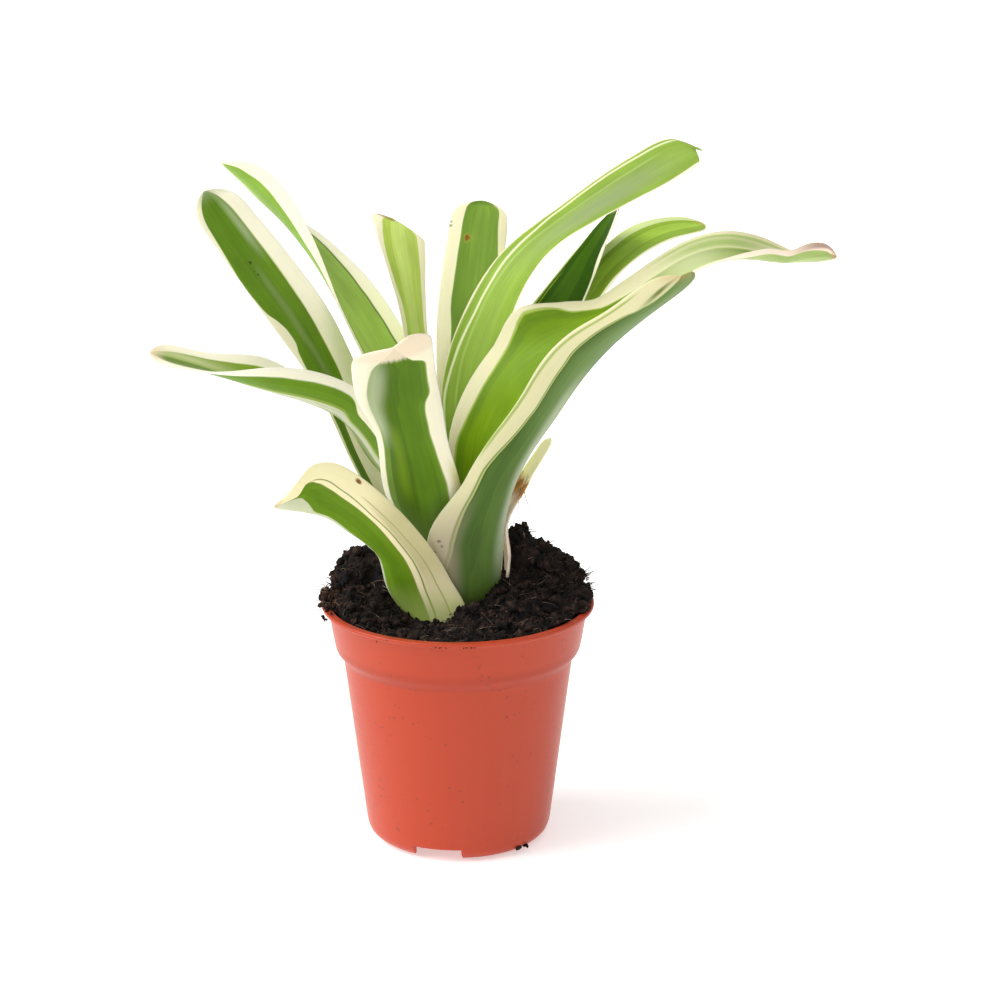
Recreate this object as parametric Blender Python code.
"""Potted variegated nidularium: a young bromeliad in a 9 cm plastic grower's pot.

The pot stands on z = 0. The origin lies under the middle of the whole plant's spread, and
the sizes below are in millimetres from the pot's own axis, which stands at POT_PLACE. They
are moved there and turned into metres where a mesh is made.
"""
import bpy
import bmesh
from math import cos, pi, radians, sin, sqrt
from mathutils import Matrix, Vector, noise

MM = 0.001                   # one millimetre in metres
POT_PLACE = Vector((-12.7, -13.6, 0.0))   # the pot's axis, off the middle of the whole spread
GAP = 0.3                    # clearance between pieces that touch

# --- Pot: injection-moulded, thin-walled, 9 cm across its lip -----------------------------
POT_HEIGHT = 80.0
LIP_RADIUS = 45.0
LIP_HEIGHT = 1.5
COLLAR_TOP_RADIUS = 42.6
COLLAR_BOTTOM_RADIUS = 40.6
COLLAR_BOTTOM_Z = 64.2
BODY_TOP_RADIUS = 38.0
BODY_BOTTOM_RADIUS = 30.6
BASE_CORNER_Z = 4.6
FOOT_RADIUS = 28.6
PAD_HEIGHT = 1.0             # three pads under the foot ring carry the pot
POT_WALL = 1.1
FLOOR_Z = 4.9                # upper face of the pot's floor
NOTCHES = 3
NOTCH_AZIMUTH = -103.0
NOTCH_ANGLE = 32.0
NOTCH_HEIGHT = 4.6
PAD_ANGLE = 28.0
DRAIN_RADIUS = 3.2
DRAIN_CIRCLE = 15.0
POT_SEGMENTS = 60

# --- Plant: sheaths nest round a short stepped stem ----------------------------------------
LAYER_RADIUS = (15.8, 14.0, 12.2, 10.4, 8.7, 7.0, 5.3)       # outermost first
LAYER_BASE_Z = (74.0, 76.5, 78.5, 80.5, 82.5, 84.5, 86.5)   # where each layer is attached
STEM_STEP = 0.8              # how far a leaf scar reaches beyond its sheath's middle
STEM_BOTTOM_Z = 58.0
STEM_TOP_Z = 91.0
STEM_SEGMENTS = 20
STEM_FOOT_RADIUS = 7.0

LEAF_THICKNESS = 1.2         # along the midrib
MARGIN_THICKNESS = 0.7
LEAF_RINGS = 18
RING_CROWDING = 1.35         # above 1, the rings stand closer towards the tip
LEAF_ACROSS = (-1.0, -0.9, -0.5, 0.0, 0.5, 0.9, 1.0)

# Each leaf: its layer, the azimuth and width of its sheath where it is attached, the length
# of its rounded tip, then its stations up to the tip, in mm and degrees:
# (azimuth, reach from the pot's axis, height, width, cupping, roll). Azimuth 0 is to the
# right and -90 to the front; roll lifts the margin that lies anticlockwise of the midrib.
LEAVES = {
    "leaf_front_left": (0, 227, 27, 8, (
        (223.5, 19, 88, 27, 63, 23),
        (222.2, 24.5, 100.5, 22.3, 77, 24),
        (219.7, 42.8, 121.9, 17.7, 50.8, 67.7),
        (219.8, 55.9, 129.5, 19.3, 48, 76),
        (220.9, 73.8, 128.3, 14.5, 18, 32))),
    "leaf_front_right": (1, -60, 26, 9, (
        (-62, 15, 103, 27, 102, 0),
        (-46, 21.8, 127.9, 23.7, 103, -10),
        (-31, 32.5, 150.6, 20.9, 47, -22),
        (-28, 43.7, 167.9, 20.6, 60, -33),
        (-28, 64.2, 184.9, 17.1, 64, -27),
        (-28, 78.1, 198.2, 10.1, 37, -54))),
    "leaf_left_outer": (1, 158, 22, 8, (
        (158, 16.9, 100.1, 22, 74, -4),
        (158, 28.6, 120.3, 21.8, 47, -14),
        (158, 44.2, 152.9, 22, 32, -16),
        (158, 58, 173.5, 22.1, 31, -32),
        (158, 90.1, 211.6, 19, 21, -30))),
    "leaf_right_rear": (1, 50, 19, 8, (
        (48, 16, 105, 20, 70, 0),
        (44, 27, 136, 18, 50, 0),
        (42, 45, 159, 16.5, 40, 2),
        (42, 66.2, 182.1, 15.5, 37, 0),
        (42, 87.6, 191.5, 17.9, 33, 10),
        (42, 113.4, 192.1, 10.9, 28, 18))),
    "leaf_front_upright": (2, -125, 19, 4, (
        (-130, 13, 100.4, 20.7, 91, 2),
        (-134, 16.2, 118.2, 27, 52, 31),
        (-125, 26, 141.4, 24.6, 45, 17),
        (-119, 37.3, 160.4, 27.3, 52, 38),
        (-115, 45.6, 176.6, 27, 46, 34))),
    "leaf_back_right": (2, 85, 16, 10, (
        (78, 15, 115, 18, 70, 0),
        (63, 25.5, 145, 19, 50, 0),
        (48.9, 47.2, 167.2, 20, 40, 6),
        (45.6, 77.1, 202.1, 15.1, 40, -34))),
    "leaf_left_low": (3, 190, 14, 8, (
        (188, 12, 108, 16.5, 70, 5),
        (188, 24.8, 128.9, 20.7, 54, 35),
        (188, 35, 144.1, 25.3, 130, 38),
        (188, 64, 154.7, 31.9, 175, 6),
        (188, 82.1, 162.8, 18.4, 60, -7),
        (188, 98.8, 168.4, 16.3, 26, -20))),
    "leaf_back": (3, 82, 12, 5, (
        (83, 12, 118, 12, 56, 0),
        (86, 19.6, 150.3, 17, 46, 0),
        (84, 31.9, 171.9, 20.6, 34, -1),
        (80, 46.9, 206.1, 19.9, 37, 0))),
    "leaf_left_rear": (4, 150, 10, 10, (
        (149, 10.5, 112, 11, 60, 0),
        (138, 21, 141, 20, 65, -8),
        (138, 44.6, 168.4, 25.8, 119, 0),
        (138, 73.4, 192.1, 26.3, 147, 36),
        (138, 93.6, 205.9, 25, 84, 56),
        (138, 109.4, 213.8, 7, 62, 30))),
    "leaf_upper_right": (5, 75, 9.5, 10, (
        (74, 8.6, 118, 11, 72, 0),
        (79, 14.8, 146, 19, 56, 0),
        (62, 21.1, 169.6, 20.3, 34, -6),
        (38, 27.9, 192.2, 21.5, 51, -5),
        (28, 47.3, 206.2, 22.6, 39, 4),
        (28, 72, 217.8, 20.4, 26, 20),
        (28, 87.5, 224.2, 16.8, 20, 26),
        (28, 95, 222.3, 13.3, 20, -20))),
    "leaf_back_left": (5, 148, 7.4, 5, (
        (146, 9.4, 120, 8.5, 52, 0),
        (131, 17.6, 146, 11, 50, 8),
        (122.5, 29.4, 172.9, 15.9, 31, 27),
        (117, 45.7, 203.8, 18.1, 35, -14))),
    "leaf_right_long": (6, 45, 9, 10, (
        (42, 6, 112, 14, 100, 0),
        (32, 7, 133, 21.5, 76, 22),
        (8, 14, 154.5, 23.5, 58, 24),
        (3, 30, 168.7, 25, 52, 43),
        (5, 50.5, 177.3, 19, 30, 26),
        (8, 75.2, 192, 21.5, 53, 16),
        (8, 88, 194.5, 24, 105, 12),
        (8, 106.6, 191.2, 25, 140, -10),
        (8, 125, 192.8, 12.4, 55, -45))),
}

# The stump of an old leaf, torn off and dried at its end.
OLD_LEAF = {
    "old_leaf_stub": (0, 8, 15, 3, (
        (10, 17, 95, 13, 50, 0),
        (14, 20, 114, 12, 40, 0),
        (16, 32, 134, 8, 40, 0))),
}

# --- Soil: peat filling the pot and heaped round the plant ---------------------------------
SOIL_WELL_RADIUS = 20.6      # the plant stands in a well of this radius
SOIL_WELL_BULGE = 5.6
WELL_BULGE_AZIMUTH = 203.0
SOIL_EDGE_RADIUS = 40.9      # where the heap meets the inside of the lip
SOIL_EDGE_Z = 78.6
LIP_CLEARANCE = 1.9          # the heap passes this far above its edge before it spreads
SOIL_OVERLAP = 2.6           # how far the heap lies out on the lip
SOIL_HEAP = 20.0             # how far the heap rises behind the plant
SOIL_ACROSS = (1.0, 0.95, 0.85, 0.7, 0.5, 0.3, 0.12, 0.0)
SOIL_SEGMENTS = 44


# ============================== materials ===================================================
def srgb(hex_colour):
    """Turn an sRGB hex colour into the linear RGBA that a shader takes."""
    values = [int(hex_colour[i:i + 2], 16) / 255 for i in (1, 3, 5)]
    return [v / 12.92 if v <= 0.04045 else ((v + 0.055) / 1.055) ** 2.4 for v in values] + [1.0]


def material(name, colour, roughness):
    made = bpy.data.materials.new(name)
    made.use_nodes = True
    shader = made.node_tree.nodes["Principled BSDF"]
    shader.inputs["Base Color"].default_value = srgb(colour)
    shader.inputs["Roughness"].default_value = roughness
    shader.inputs["Metallic"].default_value = 0.0
    made.diffuse_color = srgb(colour)
    return made


# ============================== mesh helpers ================================================
def add_object(name, bm, surface):
    """Close a bmesh made in millimetres as a named object in metres."""
    bmesh.ops.recalc_face_normals(bm, faces=bm.faces)
    bm.transform(Matrix.Scale(MM, 4) @ Matrix.Translation(POT_PLACE))
    mesh = bpy.data.meshes.new(name)
    bm.to_mesh(mesh)
    bm.free()
    mesh.shade_smooth()
    mesh.set_sharp_from_angle(angle=radians(35))
    made = bpy.data.objects.new(name, mesh)
    made.data.materials.append(surface)
    bpy.context.scene.collection.objects.link(made)
    return made


def polar(radius, degrees, z=0.0):
    return Vector((radius * cos(radians(degrees)), radius * sin(radians(degrees)), z))


def loft(bm, rings):
    """Join rings of equal length with quads and close both ends."""
    made = [[bm.verts.new(p) for p in ring] for ring in rings]
    count = len(made[0])
    for lower, upper in zip(made, made[1:]):
        for i in range(count):
            j = (i + 1) % count
            bm.faces.new((lower[i], lower[j], upper[j], upper[i]))
    bm.faces.new(reversed(made[0]))
    bm.faces.new(made[-1])


def pot_profile():
    """Half section of the moulding: down the outside, in under the floor, up the inside."""
    wall = POT_WALL
    outside = [
        (LIP_RADIUS - 0.5, POT_HEIGHT),
        (LIP_RADIUS, POT_HEIGHT - 0.5),
        (LIP_RADIUS, POT_HEIGHT - LIP_HEIGHT),
        (COLLAR_TOP_RADIUS + 0.4, POT_HEIGHT - LIP_HEIGHT - 0.5),
        (COLLAR_TOP_RADIUS, POT_HEIGHT - LIP_HEIGHT - 1.4),
        (COLLAR_BOTTOM_RADIUS, COLLAR_BOTTOM_Z + 2.2),
        (COLLAR_BOTTOM_RADIUS - 0.7, COLLAR_BOTTOM_Z + 0.6),
        (BODY_TOP_RADIUS + 0.6, COLLAR_BOTTOM_Z - 0.6),
        (BODY_TOP_RADIUS, COLLAR_BOTTOM_Z - 1.8),
        (BODY_BOTTOM_RADIUS, BASE_CORNER_Z),
        (BODY_BOTTOM_RADIUS - 0.7, BASE_CORNER_Z - 2.0),
        (FOOT_RADIUS, PAD_HEIGHT),
        (FOOT_RADIUS - 1.4, PAD_HEIGHT),
        (FOOT_RADIUS - 1.4, FLOOR_Z - wall),
    ]
    inside = [
        (BODY_BOTTOM_RADIUS - wall - 0.6, FLOOR_Z),
        (BODY_TOP_RADIUS - wall, COLLAR_BOTTOM_Z - 1.4),
        (BODY_TOP_RADIUS - wall + 0.5, COLLAR_BOTTOM_Z - 0.2),
        (COLLAR_BOTTOM_RADIUS - wall - 0.4, COLLAR_BOTTOM_Z + 1.4),
        (COLLAR_TOP_RADIUS - wall, POT_HEIGHT - LIP_HEIGHT - 0.8),
        (COLLAR_TOP_RADIUS - wall + 0.5, POT_HEIGHT),
    ]
    return outside, inside


def make_pot(surface):
    outside, inside = pot_profile()
    bm = bmesh.new()
    rings = []
    for i in range(POT_SEGMENTS):
        turn = 360 * i / POT_SEGMENTS
        rings.append([bm.verts.new(polar(r, turn, z)) for r, z in outside + inside])
    under, floor = len(outside) - 1, len(outside)
    for i in range(POT_SEGMENTS):
        here, there = rings[i], rings[(i + 1) % POT_SEGMENTS]
        for k in range(len(here)):
            if k != under:
                m = (k + 1) % len(here)
                bm.faces.new((here[k], there[k], there[m], here[m]))
    bm.faces.new([ring[under] for ring in rings])
    bm.faces.new([ring[floor] for ring in rings])
    pot = add_object("pot", bm, surface)
    cut(pot, notch_cutter())
    for turn in (NOTCH_AZIMUTH + 60 + 120 * k for k in range(3)):
        cut(pot, drain_cutter(polar(DRAIN_CIRCLE, turn)))
    join(pot, pads())
    return pot


def sector(bm, inner, outer, start, end, z_low, z_high, steps=8):
    """A block of an annulus between two angles."""
    rings = []
    for k in range(steps + 1):
        turn = start + (end - start) * k / steps
        rings.append([polar(inner, turn, z_low), polar(outer, turn, z_low),
                      polar(outer, turn, z_high), polar(inner, turn, z_high)])
    loft(bm, rings)


def notch_cutter():
    bm = bmesh.new()
    for k in range(NOTCHES):
        middle = NOTCH_AZIMUTH + 360 / NOTCHES * k
        sector(bm, FOOT_RADIUS - 4.0, BODY_BOTTOM_RADIUS + 4.0, middle - NOTCH_ANGLE / 2,
               middle + NOTCH_ANGLE / 2, -2.0, NOTCH_HEIGHT)
    return add_object("notch_cutter", bm, bpy.data.materials[0])


def drain_cutter(place):
    bm = bmesh.new()
    bmesh.ops.create_cone(bm, cap_ends=True, segments=16, radius1=DRAIN_RADIUS,
                          radius2=DRAIN_RADIUS, depth=20,
                          matrix=Matrix.Translation(place + Vector((0, 0, FLOOR_Z - 5))))
    return add_object("drain_cutter", bm, bpy.data.materials[0])


def pads():
    """Three low pads, sunk a little into the foot ring so that the union joins them."""
    bm = bmesh.new()
    for k in range(NOTCHES):
        start = NOTCH_AZIMUTH + 360 / NOTCHES * k + NOTCH_ANGLE / 2 + 0.5
        sector(bm, FOOT_RADIUS - 1.2, FOOT_RADIUS - 0.2, start, start + PAD_ANGLE,
               0.0, PAD_HEIGHT + 0.6)
    return add_object("pads", bm, bpy.data.materials[0])


def combine(target, tool, operation):
    modifier = target.modifiers.new(operation.title(), "BOOLEAN")
    modifier.operation = operation
    modifier.solver = "EXACT"
    modifier.object = tool
    tool.hide_render = True
    tool.display_type = "WIRE"


def cut(target, tool):
    combine(target, tool, "DIFFERENCE")


def join(target, tool):
    combine(target, tool, "UNION")


# ============================== stem ========================================================
def make_stem(surface):
    """A short woody stem, stepped where each layer of sheaths is attached."""
    inner = LAYER_RADIUS[-1] - LEAF_THICKNESS / 2 - 3 * GAP
    profile = [(inner - 0.6, STEM_TOP_Z), (inner, STEM_TOP_Z - 0.8)]
    for radius, base in reversed(list(zip(LAYER_RADIUS, LAYER_BASE_Z))):
        profile.append((profile[-1][0], base - GAP))
        profile.append((radius + STEM_STEP - 0.3, base - GAP))
    profile.append((LAYER_RADIUS[0] + STEM_STEP - 0.3, LAYER_BASE_Z[0] - 4))
    profile.append((STEM_FOOT_RADIUS, STEM_BOTTOM_Z))
    bm = bmesh.new()
    loft(bm, [[polar(radius, 360 * i / STEM_SEGMENTS, z) for i in range(STEM_SEGMENTS)]
              for radius, z in profile])
    return add_object("stem", bm, surface)


# ============================== leaves ======================================================
def hermite(stations, t):
    """A smooth curve through the stations, read at t from 0 to 1 by its own length."""
    knots = [0.0]
    for a, b in zip(stations, stations[1:]):
        knots.append(knots[-1] + (Vector(b[:3]) - Vector(a[:3])).length)
    at = t * knots[-1]
    k = max(i for i in range(len(knots) - 1) if knots[i] <= at or i == 0)
    span = knots[k + 1] - knots[k]
    x = (at - knots[k]) / span

    def slope(i, c):
        low, high = max(i - 1, 0), min(i + 1, len(knots) - 1)
        return (stations[high][c] - stations[low][c]) / (knots[high] - knots[low])

    value = []
    for c in range(len(stations[0])):
        p0, p1 = stations[k][c], stations[k + 1][c]
        m0, m1 = slope(k, c) * span, slope(k + 1, c) * span
        value.append((2 * x ** 3 - 3 * x ** 2 + 1) * p0 + (x ** 3 - 2 * x ** 2 + x) * m0
                     + (3 * x ** 2 - 2 * x ** 3) * p1 + (x ** 3 - x ** 2) * m1)
    return value, knots[-1]


def section(centre, along, side, width, cup, roll):
    """One ring of a leaf: its upper face from margin to margin, then its lower face back."""
    side = (side - along * side.dot(along)).normalized()
    up = along.cross(side)
    side, up = (side * cos(roll) + up * sin(roll)), (up * cos(roll) - side * sin(roll))
    radius = width / cup
    upper, lower = [], []
    for u in LEAF_ACROSS:
        angle = u * cup / 2
        point = centre + side * radius * sin(angle) + up * radius * (1 - cos(angle))
        inward = up * cos(angle) - side * sin(angle)
        half = (LEAF_THICKNESS + (MARGIN_THICKNESS - LEAF_THICKNESS) * u * u) / 2
        half = min(half, width / 5)
        upper.append(point + inward * half)
        lower.append(point - inward * half)
    margins = [(upper[i] + lower[i]) / 2 for i in (0, -1)]
    return [margins[0]] + upper[1:-1] + [margins[1]] + lower[-2:0:-1]


def make_leaf(name, plan, surface):
    layer, azimuth, width, tip, rows = plan
    radius = LAYER_RADIUS[layer]
    stations = [(*polar(radius, azimuth, LAYER_BASE_Z[layer]), width, width / radius, 0.0)]
    for azimuth, reach, height, width, cup, roll in rows:
        stations.append((*polar(reach, azimuth, height), width, radians(cup), radians(roll)))
    _, length = hermite(stations, 0.0)
    straight = 1 - tip / length
    rings = []
    for k in range(LEAF_RINGS):
        x = k / (LEAF_RINGS - 1)
        t = 1 - (1 - x) ** RING_CROWDING
        value, _ = hermite(stations, t)
        ahead, _ = hermite(stations, min(t + 0.01, 1.0))
        behind, _ = hermite(stations, max(t - 0.01, 0.0))
        along = (Vector(ahead[:3]) - Vector(behind[:3])).normalized()
        if k == 0:
            along = Vector((0, 0, 1))
        centre = Vector(value[:3])
        side = Vector((-centre.y, centre.x, 0)).normalized()
        width, cup, roll = value[3:6]
        if t > straight:
            past = (t - straight) / (1 - straight)
            width *= max(sqrt(1 - min(past, 1.0) ** 2), 0.12)
        rings.append(section(centre, along, side, width, cup, roll))
    bm = bmesh.new()
    loft(bm, rings)
    return add_object(name, bm, surface)


# ============================== soil ========================================================
def soil_brow(azimuth):
    """Edge of the heap: inside the lip at the front, lying on the lip at the sides and behind."""
    share = min(1.0, (0.5 + 0.5 * sin(radians(azimuth))) / 0.45)
    lift = min(1.0, 4 * share)
    return SOIL_EDGE_RADIUS + SOIL_OVERLAP * share, SOIL_EDGE_Z + 0.6 + SOIL_OVERLAP * lift, lift


def soil_well(azimuth):
    """Radius of the hole for the sheaths: wider under the leaf that leans out to the front left."""
    return SOIL_WELL_RADIUS + SOIL_WELL_BULGE * max(0.0, cos(radians(azimuth - WELL_BULGE_AZIMUTH))) ** 3


def soil_top(across, azimuth):
    """A point of the heap, from the well (across 0) to its brow (across 1)."""
    behind = 0.5 + 0.5 * sin(radians(azimuth))
    leftward = max(0.0, -cos(radians(azimuth)))
    heap = SOIL_HEAP * min(1.0, behind / 0.65) ** 1.8 * (1 - 0.24 * leftward) + 1.0
    fall = 1 - 0.45 * across - 0.55 * across ** 8
    turn = polar(1.0, azimuth)
    lumps = noise.noise(Vector((turn.x * 3.1, turn.y * 3.1, across * 4.0)))
    brow_radius, brow_z, _ = soil_brow(azimuth)
    well = soil_well(azimuth)
    radius = well + (brow_radius - well) * across
    height = brow_z + heap * fall + 2.4 * lumps * sin(pi * min(across + 0.15, 1.0))
    return polar(radius, azimuth, height)


def make_soil(surface):
    gap = POT_WALL + GAP + 0.1
    wall = [(BODY_BOTTOM_RADIUS - gap - 0.8, FLOOR_Z + GAP),
            (BODY_TOP_RADIUS - gap - 0.1, COLLAR_BOTTOM_Z - 1.4),
            (COLLAR_BOTTOM_RADIUS - gap - 0.6, COLLAR_BOTTOM_Z + 2.0),
            (SOIL_EDGE_RADIUS - 0.3, SOIL_EDGE_Z - 2.4)]
    bm = bmesh.new()
    turns = [360 * i / SOIL_SEGMENTS for i in range(SOIL_SEGMENTS)]
    rings = [[polar(radius, turn, z) for turn in turns] for radius, z in wall]
    rings.append([polar(SOIL_EDGE_RADIUS, turn, SOIL_EDGE_Z + LIP_CLEARANCE * soil_brow(turn)[2])
                  for turn in turns])
    for across in SOIL_ACROSS:
        rings.append([soil_top(across, turn) for turn in turns])
    well_floor = LAYER_BASE_Z[0] - 4 - GAP
    rings.append([polar(SOIL_WELL_RADIUS, turn, well_floor) for turn in turns])
    rings.append([polar(STEM_FOOT_RADIUS + GAP, turn, STEM_BOTTOM_Z - GAP) for turn in turns])
    loft(bm, rings)
    return add_object("soil", bm, surface)


# ============================== build =======================================================
def build():
    for thing in list(bpy.data.objects):
        bpy.data.objects.remove(thing, do_unlink=True)
    plastic = material("terracotta_coloured_polypropylene", "#c9553a", 0.42)
    peat = material("peat", "#1f1612", 0.95)
    wood = material("young_stem", "#b9a06a", 0.7)
    blade = material("variegated_leaf", "#5a9a20", 0.45)
    dried = material("dried_leaf", "#e2cf9c", 0.7)
    make_pot(plastic)
    make_soil(peat)
    make_stem(wood)
    for name, plan in LEAVES.items():
        make_leaf(name, plan, blade)
    for name, plan in OLD_LEAF.items():
        make_leaf(name, plan, dried)


build()
